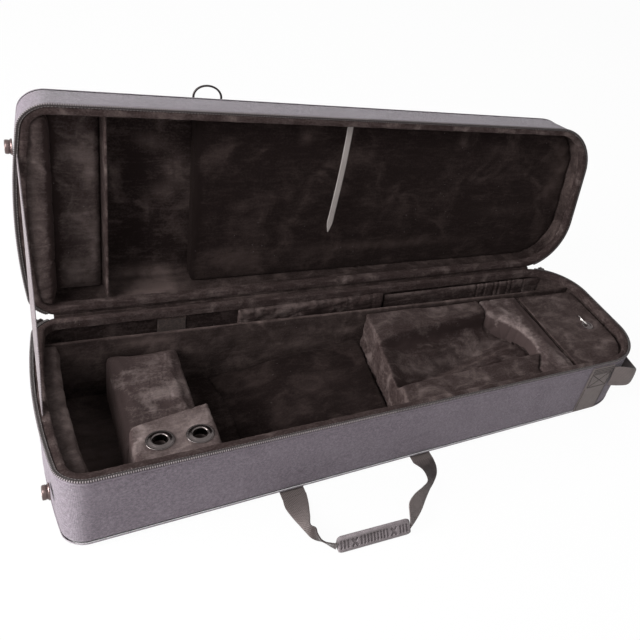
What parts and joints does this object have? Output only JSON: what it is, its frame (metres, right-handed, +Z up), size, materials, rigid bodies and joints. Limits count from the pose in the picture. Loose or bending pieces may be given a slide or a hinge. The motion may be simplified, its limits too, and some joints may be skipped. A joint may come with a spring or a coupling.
{
  "type": "trombone case",
  "caption": "Open lightweight trombone case: zipped nylon base and hinged lid, plush bell cradle, slide channel, lidded box, carry and end handles.",
  "frame": {"origin": "middle of the base's flat bottom, on the floor", "axes": "+X along the case from the bell rim's end to the box's end, +Y from the front to the hinge, +Z up"},
  "size_m": [1.0002, 0.5654, 0.4575],
  "materials": {
    "nylon": "woven nylon",
    "velour": "dark plush",
    "velourLit": "plush with laid nap",
    "tape": "woven zipper tape",
    "coil": "moulded coil",
    "binding": "sewn binding tape",
    "webbing": "woven webbing",
    "paleWebbing": "woven tape",
    "rubber": "moulded, matt",
    "nickel": "nickel plated",
    "blackWire": "black finish",
    "footMetal": "dark moulded stud"
  },
  "bodies": {
    "base": {"base_shell": "nylon", "base_lining": "velour", "base_rim_lip": "velourLit", "base_zip_tape": "tape", "base_zip_coil": "coil", "base_seam_binding": "binding", "slide_divider": "velour", "left_end_pad": "velourLit", "bridge_saddle": "velourLit", "mouthpiece_block": "velourLit", "grommet_left": "nickel", "grommet_right": "nickel", "bell_well_bed": "velour", "bell_cradle": "velourLit", "bow_block": "velourLit", "accessory_box": "velour", "slide_rest_left": "velourLit", "slide_rest_right": "velour", "hook_patch": "tape", "base_foot": "footMetal", "hinge_fabric": "nylon", "stay_strap": "webbing", "zip_slider_left": "blackWire", "zip_slider_right": "blackWire", "end_handle_band": "webbing", "end_handle_loop": "webbing", "handle_tab_left": "webbing", "handle_tab_right": "webbing"},
    "lid": {"lid_shell": "nylon", "lid_lining": "velour", "lid_rim_lip": "velourLit", "lid_zip_tape": "tape", "lid_zip_coil": "coil", "lid_seam_binding": "binding", "lid_end_pad": "velourLit", "lid_well_pad": "velourLit", "lid_partition": "velourLit", "lid_panel": "velour", "lid_strap": "paleWebbing", "lid_foot": "footMetal", "d_ring_tab": "webbing"},
    "carry_handle": {"handle_strap_left": "webbing", "handle_strap_right": "webbing", "handle_grip": "rubber"},
    "d_ring": {"d_ring": "blackWire"},
    "box_lid": {"accessory_lid": "velourLit", "pull_eyelet": "nickel"},
    "pull_ring": {"pull_ring": "nickel"},
    "zip_pull_left": {"zip_pull_left": "blackWire"},
    "zip_pull_right": {"zip_pull_right": "blackWire"}
  },
  "joints": [
    {"name": "lid_hinge", "type": "hinge", "parent": "base", "child": "lid", "pos_m": [0, 0.16, 0.134], "axis": [-1, 0, 0], "range_deg": [-95, 0], "deforming": ["hinge_fabric", "stay_strap"]},
    {"name": "carry_handle_swing", "type": "hinge", "parent": "base", "child": "carry_handle", "pos_m": [0, -0.163, 0.0032], "axis": [-1, 0, 0], "range_deg": [0, 75]},
    {"name": "d_ring_swing", "type": "hinge", "parent": "lid", "child": "d_ring", "pos_m": [-0.25, 0.27629, 0.42597], "axis": [-1, 0, 0], "range_deg": [0, 170]},
    {"name": "box_lid_hinge", "type": "hinge", "parent": "base", "child": "box_lid", "pos_m": [0.3326, 0, 0.1143], "axis": [0, -1, 0], "range_deg": [0, 100]},
    {"name": "pull_ring_swing", "type": "hinge", "parent": "box_lid", "child": "pull_ring", "pos_m": [0.43, -0.028, 0.1188], "axis": [0, 1, 0], "range_deg": [-38, 130]},
    {"name": "zip_pull_left_swing", "type": "hinge", "parent": "base", "child": "zip_pull_left", "pos_m": [-0.48877, 0.15847, 0.1296], "axis": [0.7547, 0.6561, 0], "range_deg": [0, 80]},
    {"name": "zip_pull_right_swing", "type": "hinge", "parent": "base", "child": "zip_pull_right", "pos_m": [0.43694, 0.15789, 0.1296], "axis": [0.891, -0.454, 0], "range_deg": [0, 80]}
  ]
}
